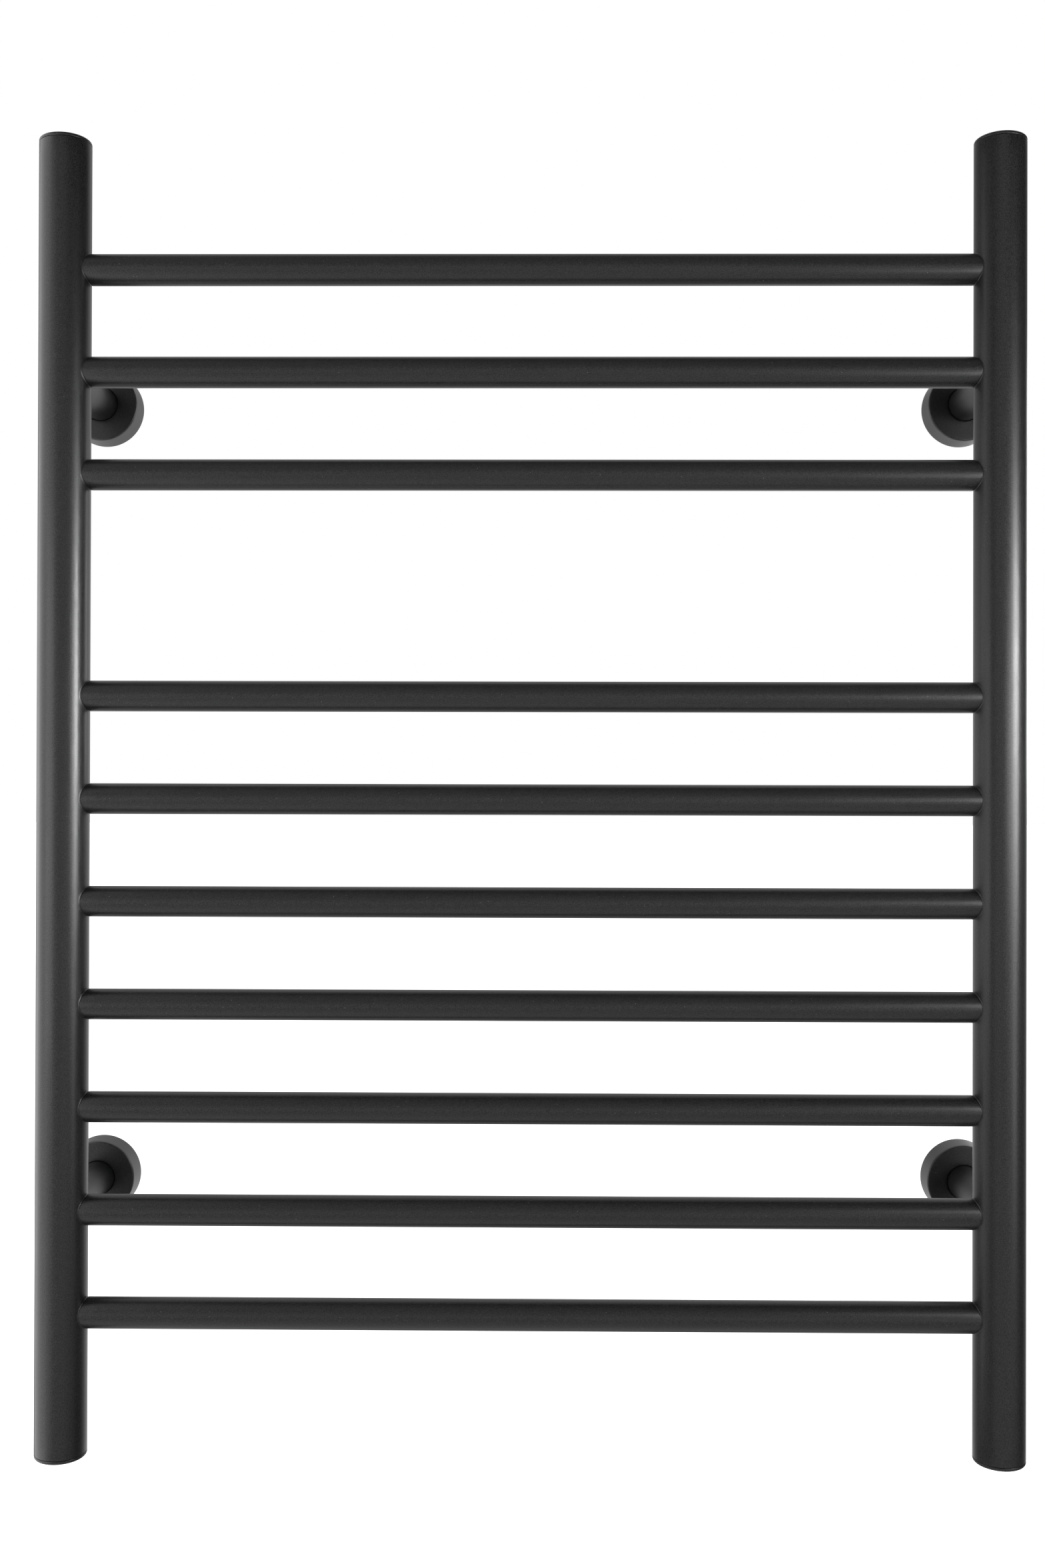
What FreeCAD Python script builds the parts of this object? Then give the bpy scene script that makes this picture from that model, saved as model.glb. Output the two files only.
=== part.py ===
import FreeCAD, Part
import math
import os

# Wall-mounted electric towel warmer: two round uprights, ten round bars in two
# groups, four stand-off brackets with sliding cover cups, and a heating cable
# that runs through every bar.
#
# Frame: millimetres. The wall is the plane Y = 0 and the rack stands out
# towards -Y. X runs along the bars, Z is up. The origin is the centre of the
# four wall fixings.

V = FreeCAD.Vector

# ---------------------------------------------------------------- dimensions
WIDTH = 610.0             # over the two uprights
UP_R = 15.9               # upright tube, outside radius (31.8 mm tube)
UP_WALL = 1.5
BAR_R = 9.5               # bar tube, outside radius (19 mm tube)
BAR_WALL = 1.2
BAR_PITCH = 63.5          # axis to axis inside a group
GROUP_GAP = 137.0         # axis of bar 3 to axis of bar 4
TOP_MARGIN = 80.0         # top end to axis of bar 1
BOTTOM_MARGIN = 88.0      # axis of bar 10 to bottom end
BAR_FORWARD = 0.0         # bar axes lie in the plane of the upright axes
STAND_OFF = 95.0          # wall to upright axis

CAP_FLANGE = 2.5          # visible thickness of an end cap
CAP_SKIRT = 12.0
CAP_SKIRT_R = 14.38
CAP_SKIRT_RI = 12.6
CAP_EDGE = 0.9            # rounding of the cap's visible edge
SEAM = 0.3                # chamfer each side of the cap joint

POST_R = 11.0             # bracket post, outside radius
POST_RI = 9.0

BASE_R = 21.5             # wall base disc
BASE_T = 3.0
SPIGOT_R = 8.95
SPIGOT_END = 27.0         # distance of the spigot's end from the wall
BASE_BORE_R = 5.0
BASE_CBORE_R = 7.0
BASE_CBORE_T = 1.2
GROOVE_R = 7.0            # locking groove in the spigot
GROOVE_Y = 11.0
GROOVE_HALF = 3.0
FIX_HOLE_R = 2.5          # wall screw holes
FIX_HOLE_OFFSET = 16.0    # above and below the bracket axis

GRUB_R = 2.5
GRUB_OUT = 10.9           # outer end, just under the post's surface
GRUB_HEX_AF = 2.5
GRUB_HEX_DEEP = 2.0

CUP_GAP = 0.3             # rear rim to wall
CUP_DEPTH = 17.0
CUP_REAR_R = 25.0
CUP_FRONT_R = 24.0
CUP_WALL = 1.2
CUP_HOLE_R = 11.35
CUP_EDGE = 1.1
COLLAR_R = 14.5
RING_R = 13.5             # friction ring, outside
RING_RI = 11.05           # runs on the post
RING_T = 3.5

CABLE_R = 2.0
CABLE_BEND = 12.0
WIRE_HOLE_R = 5.0
LEAD_HOLE_R = 6.0
RETURN_X = 7.9            # return run, outward of the upright axis

GROMMET_BORE_R = 3.6
GROMMET_LEN = 12.0

# ------------------------------------------------------------ derived places
UP_RI = UP_R - UP_WALL
BAR_RI = BAR_R - BAR_WALL
XU = WIDTH / 2.0 - UP_R                       # upright axes at +-XU
YU = -STAND_OFF                               # plane of the upright axes
YB = YU - BAR_FORWARD                         # plane of the bar axes

offsets = [0.0, BAR_PITCH, 2 * BAR_PITCH]
offsets += [2 * BAR_PITCH + GROUP_GAP + i * BAR_PITCH for i in range(7)]
# brackets sit at the heights of bars 2 and 9
mid = 0.5 * (offsets[1] + offsets[8])
BAR_Z = [mid - o for o in offsets]
ZB = BAR_Z[1]                                 # brackets at +-ZB
Z_TOP = BAR_Z[0] + TOP_MARGIN
Z_BOTTOM = BAR_Z[9] - BOTTOM_MARGIN

SIDES = {"left": -XU, "right": XU}
LEVELS = {"upper": ZB, "lower": -ZB}


def cyl(r, length, base, direction):
    return Part.makeCylinder(r, length, V(*base), V(*direction))


def revolve_y(profile, x, z):
    """Solid of revolution about the line through (x, z) parallel to Y.
    The profile is a closed list of (radius, y)."""
    pts = [V(x + r, y, z) for r, y in profile]
    face = Part.Face(Part.makePolygon(pts + [pts[0]]))
    return face.revolve(V(x, 0, z), V(0, 1, 0), 360)


def revolve_z(profile, x, y):
    """The same about a vertical line; the profile is (radius, z)."""
    pts = [V(x + r, y, z) for r, z in profile]
    face = Part.Face(Part.makePolygon(pts + [pts[0]]))
    return face.revolve(V(x, y, 0), V(0, 0, 1), 360)


def circle_edges(shape, radius, coord, value, tol=1e-3):
    """Full circular edges of one radius at one coordinate ('y' or 'z')."""
    found = []
    for e in shape.Edges:
        c = e.Curve
        if isinstance(c, Part.Circle) and abs(c.Radius - radius) < tol:
            if abs(getattr(c.Center, coord) - value) < tol:
                found.append(e)
    return found


def one_solid(shape):
    s = shape.removeSplitter()
    if s.ShapeType != "Solid":
        if len(s.Solids) != 1:
            raise RuntimeError("expected one solid, got %d" % len(s.Solids))
        s = s.Solids[0]
    if s.Volume < 0:
        s.reverse()
    return s


parts = {}

# ------------------------------------------------------------------ uprights
TUBE_TOP = Z_TOP - CAP_FLANGE
TUBE_BOTTOM = Z_BOTTOM + CAP_FLANGE


def upright(x, lead_hole):
    c = SEAM
    t = revolve_z([
        (UP_RI, TUBE_BOTTOM), (UP_R - c, TUBE_BOTTOM), (UP_R, TUBE_BOTTOM + c),
        (UP_R, TUBE_TOP - c), (UP_R - c, TUBE_TOP), (UP_RI, TUBE_TOP),
    ], x, YU)
    inward = -1.0 if x > 0 else 1.0
    for z in BAR_Z:
        # wire-way from the upright into the bar
        t = t.cut(cyl(WIRE_HOLE_R, 12.0, (x + inward * 9.0, YB, z), (inward, 0, 0)))
    if lead_hole:
        t = t.cut(cyl(LEAD_HOLE_R, 10.0, (x, YU + 10.0, -ZB), (0, 1, 0)))
    return one_solid(t)


parts["left_upright"] = upright(-XU, True)
parts["right_upright"] = upright(XU, False)

# ---------------------------------------------------------------------- bars
for i, z in enumerate(BAR_Z):
    length = 2 * XU
    tube = cyl(BAR_R, length, (-XU, YB, z), (1, 0, 0)).cut(
        cyl(BAR_RI, length, (-XU, YB, z), (1, 0, 0)))
    for x in (-XU, XU):
        tube = tube.cut(cyl(UP_R, 60.0, (x, YU, z - 30.0), (0, 0, 1)))
    solids = sorted(tube.Solids, key=lambda s: -s.Volume)
    parts["bar_%02d" % (i + 1)] = one_solid(solids[0])

# ------------------------------------------------------------------ end caps


def end_cap(x, z_face, up):
    """Plug cap. z_face is the outer face, up is +1 for a top cap."""
    def p(r, d):
        return (r, z_face - up * d)
    s = revolve_z([
        p(0, 0), p(UP_R, 0), p(UP_R, CAP_FLANGE - SEAM), p(UP_R - SEAM, CAP_FLANGE),
        p(CAP_SKIRT_R, CAP_FLANGE), p(CAP_SKIRT_R, CAP_FLANGE + CAP_SKIRT - 0.6),
        p(CAP_SKIRT_R - 0.6, CAP_FLANGE + CAP_SKIRT),
        p(CAP_SKIRT_RI, CAP_FLANGE + CAP_SKIRT), p(CAP_SKIRT_RI, CAP_FLANGE),
        p(0, CAP_FLANGE),
    ], x, YU)
    s = s.makeFillet(CAP_EDGE, circle_edges(s, UP_R, "z", z_face))
    return one_solid(s)


for side, x in SIDES.items():
    parts["end_cap_top_" + side] = end_cap(x, Z_TOP, 1.0)
    parts["end_cap_bottom_" + side] = end_cap(x, Z_BOTTOM, -1.0)

# ------------------------------------------------------------------ brackets
grubs = []
for level, z in LEVELS.items():
    for side, x in SIDES.items():
        tag = level + "_" + side

        # post: saddle-cut to the upright, butts on the wall base
        post = cyl(POST_R, STAND_OFF - BASE_T, (x, YU, z), (0, 1, 0)).cut(
            cyl(POST_RI, STAND_OFF - BASE_T, (x, YU, z), (0, 1, 0)))
        post = post.cut(cyl(UP_R, 60.0, (x, YU, z - 30.0), (0, 0, 1)))
        post = post.cut(cyl(GRUB_R, 14.0, (x, -GROOVE_Y, z), (0, 0, -1)))
        solids = sorted(post.Solids, key=lambda s: -s.Volume)
        parts["post_" + tag] = one_solid(solids[0])

        # wall base: disc, bored spigot with a locking groove
        b = revolve_y([
            (BASE_CBORE_R, 0), (BASE_R, 0), (BASE_R, -BASE_T), (SPIGOT_R, -BASE_T),
            (SPIGOT_R, -(GROOVE_Y - GROOVE_HALF)), (GROOVE_R, -(GROOVE_Y - GROOVE_HALF)),
            (GROOVE_R, -(GROOVE_Y + GROOVE_HALF)), (SPIGOT_R, -(GROOVE_Y + GROOVE_HALF)),
            (SPIGOT_R, -(SPIGOT_END - 0.9)), (SPIGOT_R - 0.9, -SPIGOT_END),
            (BASE_BORE_R, -SPIGOT_END), (BASE_BORE_R, -BASE_CBORE_T),
            (BASE_CBORE_R, -BASE_CBORE_T),
        ], x, z)
        b = b.makeFillet(0.8, circle_edges(b, BASE_R, "y", -BASE_T))
        for s in (-1, 1):
            b = b.cut(cyl(FIX_HOLE_R, 20.0, (x, -10.0, z + s * FIX_HOLE_OFFSET), (0, 1, 0)))
        parts["wall_base_" + tag] = one_solid(b)

        # grub screw, from below, tip in the groove
        g = cyl(GRUB_R, GRUB_OUT - GROOVE_R, (x, -GROOVE_Y, z - GROOVE_R), (0, 0, -1))
        rad = GRUB_HEX_AF / math.sqrt(3.0)
        hexa = [V(x + rad * math.cos(math.radians(60 * k)),
                  -GROOVE_Y + rad * math.sin(math.radians(60 * k)),
                  z - GRUB_OUT) for k in range(6)]
        key = Part.Face(Part.makePolygon(hexa + [hexa[0]])).extrude(V(0, 0, GRUB_HEX_DEEP))
        grubs.append(one_solid(g.cut(key)))

        # cover cup: front wall with a clearance hole, flared side, inner collar
        yr = -CUP_GAP
        yf = yr - CUP_DEPTH
        yi = yf + CUP_WALL
        slope = (CUP_REAR_R - CUP_FRONT_R) / CUP_DEPTH
        cup = revolve_y([
            (CUP_HOLE_R, yf), (CUP_FRONT_R, yf), (CUP_REAR_R, yr),
            (CUP_REAR_R - CUP_WALL, yr), (CUP_FRONT_R - CUP_WALL + slope * CUP_WALL, yi),
            (COLLAR_R, yi), (COLLAR_R, yi + RING_T), (RING_R, yi + RING_T),
            (RING_R, yi), (CUP_HOLE_R, yi),
        ], x, z)
        cup = cup.makeFillet(CUP_EDGE, circle_edges(cup, CUP_FRONT_R, "y", yf))
        parts["cover_cup_" + tag] = one_solid(cup)

        # friction ring, seated in the collar behind the cup's front wall
        parts["cup_ring_" + tag] = one_solid(revolve_y([
            (RING_RI, yi), (RING_R, yi), (RING_R, yi + RING_T), (RING_RI, yi + RING_T),
        ], x, z))

parts["grub_screws"] = Part.makeCompound(grubs)

# -------------------------------------------------- lead entry, lower left
parts["lead_grommet"] = one_solid(revolve_y([
    (GROMMET_BORE_R, 0), (BASE_CBORE_R, 0), (BASE_CBORE_R, -BASE_CBORE_T),
    (BASE_BORE_R, -BASE_CBORE_T), (BASE_BORE_R, -(GROMMET_LEN - 0.6)),
    (BASE_BORE_R - 0.6, -GROMMET_LEN), (GROMMET_BORE_R, -GROMMET_LEN),
], -XU, -ZB))

# ------------------------------------------------------------- heating cable
# One run: up from the splice in the foot of the left upright, through bar 10
# to the right, up, back through bar 9 and so on to bar 1, then down the left
# upright outside the links to the thermal cut-out.
START_Z = Z_BOTTOM + 59.5
CUTOUT_TOP = Z_BOTTOM + 66.5
r = CABLE_BEND
s45 = r * math.sqrt(0.5)
edges = []


def P(x, z):
    return V(x, YB, z)


def line(a, b):
    edges.append(Part.LineSegment(a, b).toShape())


def arc(a, m, b):
    edges.append(Part.Arc(a, m, b).toShape())


cable_length = 0.0
pos = P(-XU, START_Z)
order = list(range(9, -1, -1))
direction = 1.0                    # +1 runs to the right
for n, i in enumerate(order):
    z = BAR_Z[i]
    x0 = -XU if direction > 0 else XU
    x1 = -x0
    line(pos, P(x0, z - r))
    centre = P(x0 + direction * r, z - r)
    arc(P(x0, z - r), centre + V(-direction * s45, 0, s45), P(x0 + direction * r, z))
    cable_length += abs(z - r - pos.z) + math.pi * r / 2
    if n < 9:
        line(P(x0 + direction * r, z), P(x1 - direction * r, z))
        centre = P(x1 - direction * r, z + r)
        arc(P(x1 - direction * r, z), centre + V(direction * s45, 0, -s45), P(x1, z + r))
        cable_length += abs(x1 - x0) - 2 * r + math.pi * r / 2
        pos = P(x1, z + r)
    else:
        xr = -XU - RETURN_X
        line(P(x0 + direction * r, z), P(xr + r, z))
        centre = P(xr + r, z - r)
        arc(P(xr + r, z), centre + V(-s45, 0, s45), P(xr, z - r))
        line(P(xr, z - r), P(xr, CUTOUT_TOP))
        cable_length += abs(xr + r - (x0 + direction * r)) + math.pi * r / 2
        cable_length += z - r - CUTOUT_TOP
    direction = -direction

path = Part.Wire(edges)
profile = Part.Wire([Part.Circle(P(-XU, START_Z), V(0, 0, 1), CABLE_R).toShape()])
cable = path.makePipeShell([profile], True, False)
cable = one_solid(cable)
expected = math.pi * CABLE_R ** 2 * cable_length
print("heating cable: length %.0f mm, volume %.0f, section x length %.0f" % (
    cable_length, cable.Volume, expected))
parts["heating_cable"] = cable

# thermal cut-out below the return run, and the two splices
CUTOUT_R = 4.0
CUTOUT_LEN = 26.0
SPLICE_R = 3.0
SPLICE_LEN = 24.0


def rounded_pin(radius, length, x, z_top, edge):
    s = cyl(radius, length, (x, YB, z_top - length), (0, 0, 1))
    return one_solid(s.makeFillet(edge, [e for e in s.Edges if isinstance(e.Curve, Part.Circle)]))


parts["thermal_cutout"] = rounded_pin(CUTOUT_R, CUTOUT_LEN, -XU - RETURN_X, CUTOUT_TOP, 1.2)
parts["splice_sleeves"] = Part.makeCompound([
    rounded_pin(SPLICE_R, SPLICE_LEN, -XU, START_Z, 0.8),
    rounded_pin(SPLICE_R, SPLICE_LEN, -XU - RETURN_X, CUTOUT_TOP - CUTOUT_LEN, 0.8),
])

# earth tab: curved foot on the inside of the tube's rear wall, flat blade down
TAB_T = 0.8
foot = cyl(UP_RI, 12.0, (-XU, YU, Z_BOTTOM + 27.5), (0, 0, 1)).cut(
    cyl(UP_RI - TAB_T, 12.0, (-XU, YU, Z_BOTTOM + 27.5), (0, 0, 1)))
foot = foot.common(Part.makeBox(8.0, 10.0, 12.0, V(-XU - 4.0, YU + 8.0, Z_BOTTOM + 27.5)))
blade = Part.makeBox(6.3, TAB_T, 23.5, V(-XU - 3.15, YU + UP_RI - 2 * TAB_T, Z_BOTTOM + 16.0))
low = [e for e in blade.Edges if abs(e.CenterOfMass.z - (Z_BOTTOM + 16.0)) < 1e-6 and
       abs(e.Vertexes[0].X - e.Vertexes[-1].X) < 1e-6]
blade = blade.makeChamfer(0.3, low) if low else blade
parts["earth_tab"] = one_solid(foot.fuse(blade))

# -------------------------------------------------------------------- output
os.makedirs("parts", exist_ok=True)
for name, shape in sorted(parts.items()):
    if not shape.isValid():
        raise RuntimeError("invalid solid: " + name)
    if any(s.Volume <= 0 for s in shape.Solids):
        raise RuntimeError("inside-out solid: " + name)
    shape.exportStep("parts/%s.step" % name)
    bb = shape.BoundBox
    print("%-24s %2d solid(s) %10.0f mm3  x %.1f..%.1f y %.1f..%.1f z %.1f..%.1f" % (
        name, len(shape.Solids), shape.Volume, bb.XMin, bb.XMax, bb.YMin, bb.YMax, bb.ZMin, bb.ZMax))
print("bars at z", BAR_Z, "top", Z_TOP, "bottom", Z_BOTTOM, "brackets", ZB, "x", XU)
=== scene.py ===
import math

import bpy
import numpy as np
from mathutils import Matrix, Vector


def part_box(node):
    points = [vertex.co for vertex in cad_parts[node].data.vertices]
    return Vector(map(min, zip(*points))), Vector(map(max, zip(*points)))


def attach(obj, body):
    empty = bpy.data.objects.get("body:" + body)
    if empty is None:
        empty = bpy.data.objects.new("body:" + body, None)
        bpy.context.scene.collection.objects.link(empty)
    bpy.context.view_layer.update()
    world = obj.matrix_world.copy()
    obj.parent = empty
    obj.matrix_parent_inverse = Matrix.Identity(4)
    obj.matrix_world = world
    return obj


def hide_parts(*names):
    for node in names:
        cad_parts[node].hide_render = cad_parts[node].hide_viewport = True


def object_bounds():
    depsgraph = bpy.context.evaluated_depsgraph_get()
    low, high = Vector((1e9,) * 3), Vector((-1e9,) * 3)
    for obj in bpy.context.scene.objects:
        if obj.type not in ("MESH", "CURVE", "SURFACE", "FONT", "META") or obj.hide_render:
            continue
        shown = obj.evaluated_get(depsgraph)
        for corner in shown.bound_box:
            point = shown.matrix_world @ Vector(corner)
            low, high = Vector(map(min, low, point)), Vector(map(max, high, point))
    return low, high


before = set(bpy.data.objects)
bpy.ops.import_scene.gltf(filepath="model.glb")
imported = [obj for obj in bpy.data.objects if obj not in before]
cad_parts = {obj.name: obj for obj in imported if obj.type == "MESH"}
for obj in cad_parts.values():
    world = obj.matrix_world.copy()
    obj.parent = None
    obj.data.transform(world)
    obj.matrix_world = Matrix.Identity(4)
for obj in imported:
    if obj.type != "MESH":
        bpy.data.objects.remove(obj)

CAD_BOX = [list(v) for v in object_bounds()]
TAU = 2.0 * math.pi

# ---------------------------------------------------------------- sizes (m)
lo_l, hi_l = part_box("left_upright")
lo_r, hi_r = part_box("right_upright")
UP_R = (hi_l.x - lo_l.x) / 2
UP_WALL = 0.0015
XL = (lo_l.x + hi_l.x) / 2
XR = (lo_r.x + hi_r.x) / 2
YU = (lo_l.y + hi_l.y) / 2
TUBE_LO, TUBE_HI = lo_l.z, hi_l.z
lo_b, hi_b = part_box("bar_01")
BAR_R = (hi_b.y - lo_b.y) / 2
BAR_WALL = 0.0012
YB = (lo_b.y + hi_b.y) / 2
BARS = {}
for i in range(1, 11):
    a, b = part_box("bar_%02d" % i)
    BARS["bar_%02d" % i] = (a.z + b.z) / 2

COLL = bpy.context.scene.collection


# ------------------------------------------------------------ mesh helpers
def make_object(name, verts, faces, sharp_deg=32.0):
    me = bpy.data.meshes.new(name)
    me.from_pydata([tuple(v) for v in verts], [], faces)
    me.validate()
    me.update()
    me.shade_smooth()
    me.set_sharp_from_angle(angle=math.radians(sharp_deg))
    ob = bpy.data.objects.new(name, me)
    COLL.objects.link(ob)
    return ob


def loft(rings, close_rings=True, cap_ends=False):
    """rings: array (n, seg, 3), each ring a closed loop. Joined in order; with
    close_rings the last joins the first, so a tube wall comes out closed."""
    rings = np.asarray(rings, float)
    n, seg, _ = rings.shape
    verts = rings.reshape(-1, 3)
    faces = []
    last = n if close_rings else n - 1
    for i in range(last):
        a = i * seg
        b = ((i + 1) % n) * seg
        for k in range(seg):
            m = (k + 1) % seg
            faces.append((a + k, a + m, b + m, b + k))
    verts = list(verts)
    if cap_ends and not close_rings:
        for i, flip in ((0, True), (n - 1, False)):
            c = rings[i].mean(0)
            verts.append(c)
            ci = len(verts) - 1
            for k in range(seg):
                m = (k + 1) % seg
                f = (i * seg + k, i * seg + m, ci)
                faces.append(f[::-1] if flip else f)
    return verts, faces


def arc_points(cx, cy, r, a0, a1, n):
    """n + 1 points on an arc, angles in degrees."""
    return [(cx + r * math.cos(math.radians(a0 + (a1 - a0) * i / n)),
             cy + r * math.sin(math.radians(a0 + (a1 - a0) * i / n))) for i in range(n + 1)]


def spaced(p, q, step):
    """Points strictly between p and q, about step apart."""
    d = math.hypot(q[0] - p[0], q[1] - p[1])
    n = max(1, int(round(d / step)))
    return [(p[0] + (q[0] - p[0]) * i / n, p[1] + (q[1] - p[1]) * i / n) for i in range(1, n)]


def lathe(name, profile, centre, axis, seg=160, closed=True):
    """profile: list of (radius, height along the axis). A point with radius 0
    becomes a pole."""
    cx, cy, cz = centre
    t = np.arange(seg) * TAU / seg
    verts, faces, index = [], [], []
    for r, h in profile:
        if r < 1e-9:
            index.append([len(verts)])
            if axis == "z":
                verts.append((cx, cy, cz + h))
            else:
                verts.append((cx, cy + h, cz))
            continue
        start = len(verts)
        for a in t:
            if axis == "z":
                verts.append((cx + r * math.cos(a), cy + r * math.sin(a), cz + h))
            else:
                verts.append((cx + r * math.cos(a), cy + h, cz + r * math.sin(a)))
        index.append(list(range(start, start + seg)))
    n = len(profile)
    for i in range(n if closed else n - 1):
        a, b = index[i], index[(i + 1) % n]
        if len(a) == 1 and len(b) == 1:
            continue
        for k in range(seg):
            m = (k + 1) % seg
            if len(a) == 1:
                faces.append((a[0], b[m], b[k]))
            elif len(b) == 1:
                faces.append((a[k], a[m], b[0]))
            else:
                faces.append((a[k], a[m], b[m], b[k]))
    return make_object(name, verts, faces)


def outward(ob):
    """Makes every face of a closed mesh point outward."""
    import bmesh
    bm = bmesh.new()
    bm.from_mesh(ob.data)
    bmesh.ops.recalc_face_normals(bm, faces=bm.faces)
    bm.to_mesh(ob.data)
    bm.free()
    ob.data.update()
    ob.data.shade_smooth()
    ob.data.set_sharp_from_angle(angle=math.radians(32.0))
    return ob


# -------------------------------------------------------------- powder coat
def powder_coat(name, base, rough, grain=1.0, specks=0.10):
    """Satin black powder coat: fine orange peel, slight gloss mottling and a
    few pale specks set at random in the base colour."""
    m = bpy.data.materials.new(name)
    m.use_nodes = True
    nt = m.node_tree
    N, L = nt.nodes, nt.links
    bsdf = N["Principled BSDF"]
    bsdf.inputs["Metallic"].default_value = 0.0
    bsdf.inputs["IOR"].default_value = 1.5
    bsdf.inputs["Specular IOR Level"].default_value = 0.5
    tc = N.new("ShaderNodeTexCoord")

    fine = N.new("ShaderNodeTexNoise")
    fine.inputs["Scale"].default_value = 1900.0
    fine.inputs["Detail"].default_value = 1.5
    L.new(tc.outputs["Object"], fine.inputs["Vector"])
    peel = N.new("ShaderNodeTexNoise")
    peel.inputs["Scale"].default_value = 520.0
    peel.inputs["Detail"].default_value = 3.0
    L.new(tc.outputs["Object"], peel.inputs["Vector"])
    cloud = N.new("ShaderNodeTexNoise")
    cloud.inputs["Scale"].default_value = 26.0
    cloud.inputs["Detail"].default_value = 3.0
    L.new(tc.outputs["Object"], cloud.inputs["Vector"])

    # colour: grain-to-grain variation of the coat
    mixc = N.new("ShaderNodeMapRange")
    mixc.inputs["From Min"].default_value = 0.36
    mixc.inputs["From Max"].default_value = 0.64
    mixc.inputs["To Min"].default_value = 0.05
    mixc.inputs["To Max"].default_value = 1.95
    L.new(fine.outputs["Fac"], mixc.inputs["Value"])
    col = N.new("ShaderNodeVectorMath")
    col.operation = "SCALE"
    col.inputs[0].default_value = base
    L.new(mixc.outputs["Result"], col.inputs["Scale"])
    colour = col.outputs["Vector"]
    # pale specks: small Voronoi dots set to a fixed 0.20 grey in the base colour, more of them on the bars
    # than elsewhere
    if specks > 0.0:
        vor = N.new("ShaderNodeTexVoronoi")
        vor.inputs["Scale"].default_value = 400.0
        L.new(tc.outputs["Object"], vor.inputs["Vector"])
        near = N.new("ShaderNodeMath")
        near.operation = "LESS_THAN"
        near.inputs[1].default_value = 0.062
        L.new(vor.outputs["Distance"], near.inputs[0])
        sep = N.new("ShaderNodeSeparateColor")
        L.new(vor.outputs["Color"], sep.inputs["Color"])
        some = N.new("ShaderNodeMath")
        some.operation = "GREATER_THAN"
        some.inputs[1].default_value = 1.0 - specks
        L.new(sep.outputs["Red"], some.inputs[0])
        both = N.new("ShaderNodeMath")
        both.operation = "MULTIPLY"
        L.new(near.outputs[0], both.inputs[0])
        L.new(some.outputs[0], both.inputs[1])
        mix = N.new("ShaderNodeMix")
        mix.data_type = "RGBA"
        mix.inputs["B"].default_value = (0.20, 0.20, 0.20, 1.0)
        L.new(both.outputs[0], mix.inputs["Factor"])
        L.new(colour, mix.inputs["A"])
        colour = mix.outputs["Result"]
    L.new(colour, bsdf.inputs["Base Color"])

    # gloss: broad mottling plus grain
    r1 = N.new("ShaderNodeMapRange")
    r1.inputs["From Min"].default_value = 0.3
    r1.inputs["From Max"].default_value = 0.7
    r1.inputs["To Min"].default_value = rough - 0.025
    r1.inputs["To Max"].default_value = rough + 0.025
    L.new(cloud.outputs["Fac"], r1.inputs["Value"])
    r2 = N.new("ShaderNodeMath")
    r2.operation = "MULTIPLY_ADD"
    r2.inputs[1].default_value = 0.10
    L.new(fine.outputs["Fac"], r2.inputs[0])
    L.new(r1.outputs["Result"], r2.inputs[2])
    r3 = N.new("ShaderNodeMath")
    r3.operation = "SUBTRACT"
    r3.inputs[1].default_value = 0.05
    L.new(r2.outputs[0], r3.inputs[0])
    L.new(r3.outputs[0], bsdf.inputs["Roughness"])

    b1 = N.new("ShaderNodeBump")
    b1.inputs["Strength"].default_value = 0.35 * grain
    b1.inputs["Distance"].default_value = 0.00006
    L.new(peel.outputs["Fac"], b1.inputs["Height"])
    b2 = N.new("ShaderNodeBump")
    b2.inputs["Strength"].default_value = 0.35 * grain
    b2.inputs["Distance"].default_value = 0.00002
    L.new(fine.outputs["Fac"], b2.inputs["Height"])
    L.new(b1.outputs["Normal"], b2.inputs["Normal"])
    L.new(b2.outputs["Normal"], bsdf.inputs["Normal"])
    return m


def plain_noise(name, base, rough, metallic=0.0, scale=900.0, amount=0.15, bump=0.00002, stretch=None):
    """Small unseen or half-seen parts: base colour and gloss broken up by noise."""
    m = bpy.data.materials.new(name)
    m.use_nodes = True
    nt = m.node_tree
    N, L = nt.nodes, nt.links
    bsdf = N["Principled BSDF"]
    bsdf.inputs["Metallic"].default_value = metallic
    tc = N.new("ShaderNodeTexCoord")
    vec = tc.outputs["Object"]
    if stretch:
        mp = N.new("ShaderNodeMapping")
        mp.inputs["Scale"].default_value = stretch
        L.new(vec, mp.inputs["Vector"])
        vec = mp.outputs["Vector"]
    n = N.new("ShaderNodeTexNoise")
    n.inputs["Scale"].default_value = scale
    n.inputs["Detail"].default_value = 3.0
    L.new(vec, n.inputs["Vector"])
    k = N.new("ShaderNodeMapRange")
    k.inputs["From Min"].default_value = 0.3
    k.inputs["From Max"].default_value = 0.7
    k.inputs["To Min"].default_value = 1.0 - amount
    k.inputs["To Max"].default_value = 1.0 + amount
    L.new(n.outputs["Fac"], k.inputs["Value"])
    c = N.new("ShaderNodeVectorMath")
    c.operation = "SCALE"
    c.inputs[0].default_value = base
    L.new(k.outputs["Result"], c.inputs["Scale"])
    L.new(c.outputs["Vector"], bsdf.inputs["Base Color"])
    r = N.new("ShaderNodeMapRange")
    r.inputs["From Min"].default_value = 0.3
    r.inputs["From Max"].default_value = 0.7
    r.inputs["To Min"].default_value = max(0.05, rough - 0.06)
    r.inputs["To Max"].default_value = rough + 0.06
    L.new(n.outputs["Fac"], r.inputs["Value"])
    L.new(r.outputs["Result"], bsdf.inputs["Roughness"])
    b = N.new("ShaderNodeBump")
    b.inputs["Strength"].default_value = 0.5
    b.inputs["Distance"].default_value = bump
    L.new(n.outputs["Fac"], b.inputs["Height"])
    L.new(b.outputs["Normal"], bsdf.inputs["Normal"])
    return m


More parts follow.
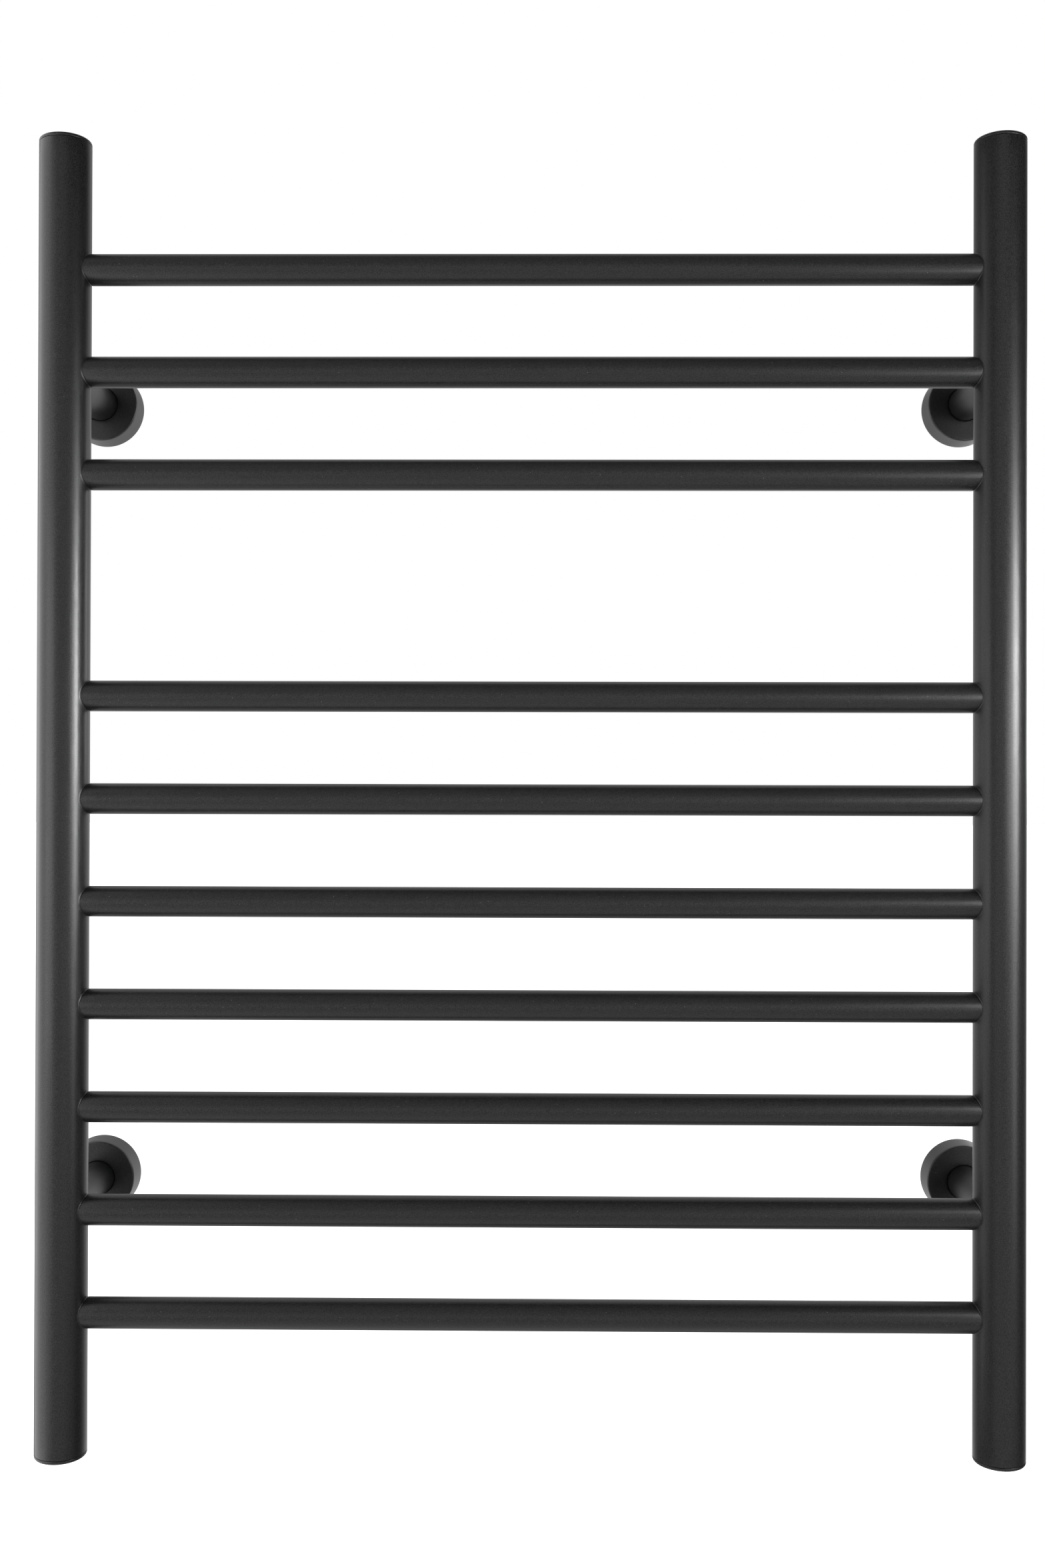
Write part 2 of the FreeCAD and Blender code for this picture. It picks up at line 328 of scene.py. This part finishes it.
COAT_ROUGH = 0.34
COAT = (0.009, 0.009, 0.0091)
mat_tube = powder_coat("coat_tube", COAT, COAT_ROUGH, specks=0.17)
mat_post = powder_coat("coat_post", COAT, COAT_ROUGH, specks=0.03)
mat_upright = powder_coat("coat_upright", COAT, COAT_ROUGH, specks=0.02)
mat_cap = powder_coat("coat_cap", COAT, COAT_ROUGH, specks=0.0)
mat_cup = powder_coat("coat_cup", COAT, COAT_ROUGH, specks=0.03)
mat_base = powder_coat("coat_base", (0.022, 0.022, 0.022), 0.5, grain=1.4, specks=0.0)
mat_ring = plain_noise("ring_rubber", (0.008, 0.008, 0.008), 0.75, scale=1500.0)
mat_grommet = plain_noise("grommet_rubber", (0.012, 0.012, 0.012), 0.7, scale=1500.0)
mat_screw = plain_noise("screw_steel", (0.45, 0.45, 0.46), 0.3, metallic=1.0, scale=300.0, stretch=(1, 1, 12))
mat_cable = plain_noise("cable_silicone", (0.42, 0.035, 0.02), 0.55, scale=700.0, amount=0.08)
mat_cutout = plain_noise("cutout_plastic", (0.68, 0.66, 0.6), 0.45, scale=800.0, amount=0.05)
mat_sleeve = plain_noise("sleeve_plastic", (0.02, 0.02, 0.02), 0.5, scale=900.0)
mat_tab = plain_noise("tab_brass", (0.66, 0.47, 0.17), 0.28, metallic=1.0, scale=350.0, stretch=(1, 1, 10))


def dress(ob, mat):
    ob.data.materials.clear()
    ob.data.materials.append(mat)


# ------------------------------------------------------------------ uprights
def upright(name, x):
    R, RI = UP_R, UP_R - UP_WALL
    e = 0.00048
    prof = []
    prof += arc_points(R - e, TUBE_LO + e, e, -90, 0, 5)
    prof += spaced((R, TUBE_LO + e), (R, TUBE_HI - e), 0.010)
    prof += arc_points(R - e, TUBE_HI - e, e, 0, 90, 5)
    prof += [(RI, TUBE_HI)]
    prof += spaced((RI, TUBE_HI), (RI, TUBE_LO), 0.030)
    prof += [(RI, TUBE_LO)]
    ob = lathe(name + "_tube", prof, (x, YU, 0.0), "z", seg=192)
    outward(ob)
    dress(ob, mat_upright)
    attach(ob, "rack")
    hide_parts(name)
    return ob


upright("left_upright", XL)
upright("right_upright", XR)


# ----------------------------------------------------------------- end caps
def end_cap(node, x, up):
    lo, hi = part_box(node)
    R = UP_R
    face = hi.z if up > 0 else lo.z
    inner = TUBE_HI if up > 0 else TUBE_LO
    T = abs(face - inner)
    e, s = 0.00155, 0.00056
    # heights measured from the tube's end outward
    outer = [(0.0, T), (R - 0.006, T), (R - 0.003, T), (R - e - 0.0005, T)]
    outer += arc_points(R - e, T - e, e, 90, 0, 14)
    outer += arc_points(R - s, s + 0.00010, s, 0, -90, 7)
    outer += [(0.01438, 0.00010), (0.01438, -0.0114), (0.0138, -0.012),
              (0.0126, -0.012), (0.0126, 0.0), (0.0, 0.0)]
    prof = [(r, up * h + inner) for r, h in outer]
    ob = lathe(node + "_plug", prof, (x, YU, 0.0), "z", seg=192, closed=False)
    outward(ob)
    dress(ob, mat_cap)
    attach(ob, "rack")
    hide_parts(node)


for side, x in (("left", XL), ("right", XR)):
    end_cap("end_cap_top_" + side, x, 1.0)
    end_cap("end_cap_bottom_" + side, x, -1.0)


# --------------------------------------------------------------------- bars
def saddle(a, r, z0, sign, x_axis, gap=0.0):
    """x of the upright's surface seen along a bar, at bar angle a."""
    dy = (YB + r * np.cos(a)) - YU
    return x_axis + sign * np.sqrt((UP_R + gap) ** 2 - dy ** 2)


# Section of a joint, in mm: height over the upright against height over the tube.
# Out of the upright a hollow run of coat, then a shallow crease, then the tube's
# rolled shoulder.
JOINT = [(v * 0.001, h * 0.001) for v, h in (
    (-0.02, 0.32), (0.015, 0.24), (0.04, 0.15), (0.08, 0.05), (0.13, -0.04), (0.19, -0.11), (0.26, -0.155),
    (0.33, -0.175), (0.40, -0.170), (0.48, -0.150), (0.57, -0.115), (0.67, -0.075), (0.78, -0.040),
    (0.92, -0.015), (1.10, 0.0))]
JOINT_RUN = JOINT[-1][0]


def bar(node, z0, seg=144):
    a = np.arange(seg) * TAU / seg
    rings = []

    def ring(x, r):
        return np.stack([x, YB + r * np.cos(a), z0 + r * np.sin(a)], 1)

    def end(sign, x_axis):
        return [ring(saddle(a, BAR_R + h, z0, sign, x_axis) + sign * v, BAR_R + h) for v, h in JOINT]

    inside = BAR_R - BAR_WALL
    left = end(1.0, XL)
    right = end(-1.0, XR)
    xl = saddle(a, BAR_R, z0, 1.0, XL) + JOINT_RUN
    xr = saddle(a, BAR_R, z0, -1.0, XR) - JOINT_RUN
    rings.append(ring(saddle(a, inside, z0, 1.0, XL), inside))
    rings += left
    n = 48
    for k in range(1, n):
        f = k / n
        rings.append(ring(xl * (1 - f) + xr * f, BAR_R))
    rings += right[::-1]
    rings.append(ring(saddle(a, inside, z0, -1.0, XR), inside))
    v, f = loft(rings, close_rings=True)
    ob = make_object(node + "_tube", v, f)
    outward(ob)
    dress(ob, mat_tube)
    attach(ob, "rack")
    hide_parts(node)


for node, z in BARS.items():
    bar(node, z)


# ----------------------------------------------------------------- brackets
def post(node, tag):
    lo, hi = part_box(node)
    x = (lo.x + hi.x) / 2
    z = (lo.z + hi.z) / 2
    r = (hi.x - lo.x) / 2
    ri = r - 0.002
    xc = XL if x < 0 else XR
    seg = 144
    a = np.arange(seg) * TAU / seg

    def ring(y, rr):
        return np.stack([x + rr * np.cos(a), y + 0 * a, z + rr * np.sin(a)], 1)

    def face(rr):
        dx = x + rr * np.cos(a) - xc
        return YU + np.sqrt(UP_R ** 2 - dx ** 2)

    rings = [ring(face(ri), ri)]
    for v, h in JOINT:
        rings.append(ring(face(r + h) + v, r + h))
    y0 = face(r) + JOINT_RUN
    y1 = hi.y - 0.0003
    n = 12
    for k in range(1, n + 1):
        f = k / n
        rings.append(ring(y0 * (1 - f) + y1 * f, r))
    rings.append(ring(hi.y, r - 0.0003))
    rings.append(ring(hi.y, ri))
    v, f = loft(rings, close_rings=True)
    ob = make_object("post_%s_tube" % tag, v, f)
    outward(ob)
    dress(ob, mat_post)
    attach(ob, "rack")
    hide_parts(node)


def cup(node, tag):
    lo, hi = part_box(node)
    x = (lo.x + hi.x) / 2
    z = (lo.z + hi.z) / 2
    yr, yf = hi.y, lo.y
    R1 = (hi.x - lo.x) / 2          # at the wall
    R0 = R1 - 0.001                 # at the front
    w = 0.0012
    hole = 0.01135
    D = yr - yf
    k = (R1 - R0) / D
    e = 0.00055
    # outside, front hole edge to rear rim; heights are y
    p = []
    p += arc_points(hole + 0.0003, yf + 0.0003, 0.0003, 180, 270, 4)
    p += spaced((hole + 0.0003, yf), (R0 - e, yf), 0.002)
    p += [(R0 - e + e * math.sin(t), yf + e - e * math.cos(t))
          for t in [math.radians(q) for q in (0, 12, 24, 36, 48, 60, 72, 84)]]
    side0 = (R0 + k * e, yf + e)
    side1 = (R1 - 0.00002, yr - 0.0003)
    p += [side0]
    p += spaced(side0, side1, 0.002)
    p += [side1, (R1 - 0.0003, yr), (R1 - w, yr)]
    yi = yf + w
    p += [(R0 - w + k * w, yi), (0.0145, yi), (0.0145, yi + 0.0035), (0.0135, yi + 0.0035),
          (0.0135, yi), (hole, yi)]
    prof = [(r, y) for r, y in p]
    ob = lathe("cover_cup_%s_shell" % tag, prof, (x, 0.0, z), "y", seg=192)
    outward(ob)
    dress(ob, mat_cup)
    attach(ob, "cup_" + tag)
    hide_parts(node)


for level in ("upper", "lower"):
    for side in ("left", "right"):
        tag = level + "_" + side
        post("post_" + tag, tag)
        cup("cover_cup_" + tag, tag)
        dress(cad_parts["wall_base_" + tag], mat_base)
        dress(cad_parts["cup_ring_" + tag], mat_ring)

for node, mat in (("grub_screws", mat_screw), ("heating_cable", mat_cable),
                  ("thermal_cutout", mat_cutout), ("splice_sleeves", mat_sleeve),
                  ("earth_tab", mat_tab), ("lead_grommet", mat_grommet)):
    dress(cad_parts[node], mat)

# -------------------------------------------------------------------- camera
F_PX, IMG_W, IMG_H = 2305.0, 1568.0, 2352.0
CAM = (0.00441, -1.04355, 0.00016)
YAW, PITCH, ROLL = 0.00963, 0.00479, 0.0027


def camera_matrix():
    cy, sy = math.cos(YAW), math.sin(YAW)
    cp, sp = math.cos(PITCH), math.sin(PITCH)
    cr, sr = math.cos(ROLL), math.sin(ROLL)
    right = np.array([cy, sy, 0.0])
    fwd = np.array([-sy, cy, 0.0])
    up = np.array([0.0, 0.0, 1.0])
    f2 = fwd * cp + up * sp
    u2 = -fwd * sp + up * cp
    r3 = right * cr + u2 * sr
    u3 = -right * sr + u2 * cr
    return r3, u3, f2


from mathutils import Matrix
cam_data = bpy.data.cameras.new("camera")
cam_data.sensor_width = 36.0
cam_data.sensor_fit = "AUTO"
cam_data.lens = 36.0 * F_PX / IMG_H
cam_data.clip_start = 0.01
cam_data.clip_end = 100.0
cam = bpy.data.objects.new("camera", cam_data)
COLL.objects.link(cam)
r3, u3, f2 = camera_matrix()
M = Matrix(((r3[0], u3[0], -f2[0], CAM[0]),
            (r3[1], u3[1], -f2[1], CAM[1]),
            (r3[2], u3[2], -f2[2], CAM[2]),
            (0, 0, 0, 1)))
cam.matrix_world = M
bpy.context.scene.camera = cam

# -------------------------------------------------------------- LIGHTS BEGIN
def area(name, loc, target, size_x, size_y, radiance, spread=180.0):
    """Rectangular soft light; the power follows from its radiance and size."""
    d = bpy.data.lights.new(name, "AREA")
    d.shape = "RECTANGLE"
    d.size = size_x
    d.size_y = size_y
    d.energy = radiance * math.pi * size_x * size_y
    d.spread = math.radians(spread)
    ob = bpy.data.objects.new(name, d)
    ob.location = loc
    ob.rotation_mode = "QUATERNION"
    ob.rotation_quaternion = (Vector(target) - Vector(loc)).to_track_quat("-Z", "Y")
    ob.visible_camera = False
    COLL.objects.link(ob)
    return ob


AREAS = (
    # name, place, aim, width, height, radiance, spread
    ("key_right", (1.04, -0.70, 0.13), (0.0, -0.09, 0.13), 0.3, 0.45, 8.05, 180.0),
    ("key_right_low", (1.04, -0.70, -0.25), (0.0, -0.09, -0.25), 0.3, 0.45, 2.34, 180.0),
    ("key_right_front", (0.90, -0.85, 0.13), (0.0, -0.09, 0.13), 0.25, 0.45, 4.97, 180.0),
    ("front_right", (0.495, -0.595, 0.05), (0.0, -0.1, 0.05), 0.184, 0.2, 3.94, 180.0),
    ("front_left", (-0.678, -0.524, 0.0), (0.0, -0.1, 0.0), 0.34, 0.5, 2.18, 180.0),
    ("front_left_low", (-0.678, -0.524, -0.5), (0.0, -0.1, -0.5), 0.34, 0.5, 0.80, 180.0),
    ("front_left_high", (-0.678, -0.524, 0.5), (0.0, -0.1, 0.5), 0.34, 0.5, 0.67, 180.0),
    ("strip_left_1", (-0.52, -0.22, 0.0), (0.0, -0.22, 0.0), 0.12, 1.24, 1.61, 180.0),
    ("strip_left_2", (-0.52, -0.10, 0.0), (0.0, -0.10, 0.0), 0.12, 1.24, 1.85, 180.0),
    ("strip_left_3", (-0.52, 0.02, 0.0), (0.0, 0.02, 0.0), 0.12, 1.24, 1.66, 180.0),
    ("spot_to_left_high", (0.951, -0.486, 0.27), (XL, YU, 0.115), 0.1, 0.2, 0.55, 16.0),
    ("spot_to_left_low", (0.951, -0.486, 0.07), (XL, YU, 0.030), 0.1, 0.2, 1.00, 16.0),
    ("spot_to_right", (0.995, -0.471, 0.14), (XR, YU, 0.077), 0.1, 0.14, 1.55, 30.0),
    ("spot_to_right_front", (0.902, -0.609, 0.14), (XR, YU, 0.077), 0.1, 0.14, 1.47, 30.0),
    ("spot_to_right_low", (0.995, -0.471, -0.03), (XR, YU, -0.015), 0.1, 0.14, 0.53, 30.0),
    ("back_right", (0.884, 0.804, 0.275), (0.0, -0.08, 0.275), 0.329, 0.55, 2.98, 180.0),
)
for a_ in AREAS:
    area(*a_)

# Surroundings: radiance by direction. Azimuth 0 faces -Y and grows toward +X in
# equal steps; each row is one height, given as the sine of the elevation.
SKY = (
    (-1.0, (0.77,)),
    (-0.8, (0.72, 0.48, 0.22, 0.11, 1.05, 1.13)),
    (-0.4, (0.62, 0.47, 0.32, 0.00, 0.20, 1.04, 1.04, 0.73, 0.00, 0.00, 0.00, 0.47)),
    (0.0, (0.64, 1.20, 0.34, 0.29, 0.17, 0.97, 1.08, 0.66, 1.48, 0.00, 0.00, 1.18)),
    (0.4, (0.63, 0.00, 0.00, 0.00, 0.00, 0.72, 0.55, 0.33, 0.00, 0.00, 0.00, 0.17)),
    (0.8, (0.38, 0.19, 0.43, 0.88, 0.84, 0.69)),
    (1.0, (0.20,)),
)

world = bpy.data.worlds.new("studio")
world.use_nodes = True
wn, wl = world.node_tree.nodes, world.node_tree.links
wn.clear()


def wmath(op, *vals, clamp=False):
    n = wn.new("ShaderNodeMath")
    n.operation = op
    n.use_clamp = clamp
    for i, v in enumerate(vals):
        if isinstance(v, (int, float)):
            n.inputs[i].default_value = v
        else:
            wl.new(v, n.inputs[i])
    return n.outputs[0]


wtc = wn.new("ShaderNodeTexCoord")
wsep = wn.new("ShaderNodeSeparateXYZ")
wl.new(wtc.outputs["Generated"], wsep.inputs[0])
azimuth = wmath("ARCTAN2", wsep.outputs["X"], wmath("MULTIPLY", wsep.outputs["Y"], -1.0))
turn = wmath("FRACT", wmath("ADD", wmath("DIVIDE", azimuth, TAU), 1.0))
SKY_MAX = 2.0


def sky_row(values):
    r = wn.new("ShaderNodeValToRGB")
    r.color_ramp.interpolation = "LINEAR"
    e = r.color_ramp.elements
    n = len(values)
    ring = [(i / n, values[i % n] / SKY_MAX) for i in range(n + 1)] if n > 1 else [(0.0, values[0] / SKY_MAX), (1.0, values[0] / SKY_MAX)]
    while len(e) > 1:
        e.remove(e[-1])
    e[0].position = ring[0][0]
    e[0].color = (ring[0][1],) * 3 + (1.0,)
    for p, v in ring[1:]:
        q = e.new(p)
        q.color = (v,) * 3 + (1.0,)
    wl.new(turn, r.inputs[0])
    return r.outputs["Color"]


level = sky_row(SKY[0][1])
for (z0, _), (z1, row) in zip(SKY[:-1], SKY[1:]):
    fac = wmath("DIVIDE", wmath("SUBTRACT", wsep.outputs["Z"], z0), z1 - z0, clamp=True)
    mx = wn.new("ShaderNodeMix")
    mx.data_type = "RGBA"
    wl.new(fac, mx.inputs["Factor"])
    wl.new(level, mx.inputs["A"])
    wl.new(sky_row(row), mx.inputs["B"])
    level = mx.outputs["Result"]

out = wn.new("ShaderNodeOutputWorld")
mixs = wn.new("ShaderNodeMixShader")
lp = wn.new("ShaderNodeLightPath")
bg_cam = wn.new("ShaderNodeBackground")
bg_cam.inputs["Color"].default_value = (1, 1, 1, 1)
bg_cam.inputs["Strength"].default_value = 1.0
bg_env = wn.new("ShaderNodeBackground")
wl.new(level, bg_env.inputs["Color"])
bg_env.inputs["Strength"].default_value = SKY_MAX
wl.new(lp.outputs["Is Camera Ray"], mixs.inputs["Fac"])
wl.new(bg_env.outputs[0], mixs.inputs[1])
wl.new(bg_cam.outputs[0], mixs.inputs[2])
wl.new(mixs.outputs[0], out.inputs["Surface"])
bpy.context.scene.world = world
# ---------------------------------------------------------------- LIGHTS END

# --------------------------------------------------------------------- floor
fm = bpy.data.materials.new("floor_white")
fm.use_nodes = True
fb = fm.node_tree.nodes["Principled BSDF"]
fb.inputs["Base Color"].default_value = (0.9, 0.9, 0.9, 1.0)
fb.inputs["Roughness"].default_value = 0.8
fb.inputs["Emission Color"].default_value = (1.0, 1.0, 1.0, 1.0)
fb.inputs["Emission Strength"].default_value = 1.0
FLOOR_Z = CAD_BOX[0][2] - 0.24
floor = make_object("floor", [(-30, -30, FLOOR_Z), (30, -30, FLOOR_Z), (30, 30, FLOOR_Z), (-30, 30, FLOOR_Z)],
                    [(0, 1, 2, 3)])
floor.data.materials.append(fm)
floor.visible_diffuse = False
floor.visible_glossy = False
floor.visible_transmission = False
floor.visible_shadow = False

bpy.context.scene.view_settings.view_transform = "Standard"
bpy.context.scene.view_settings.look = "None"
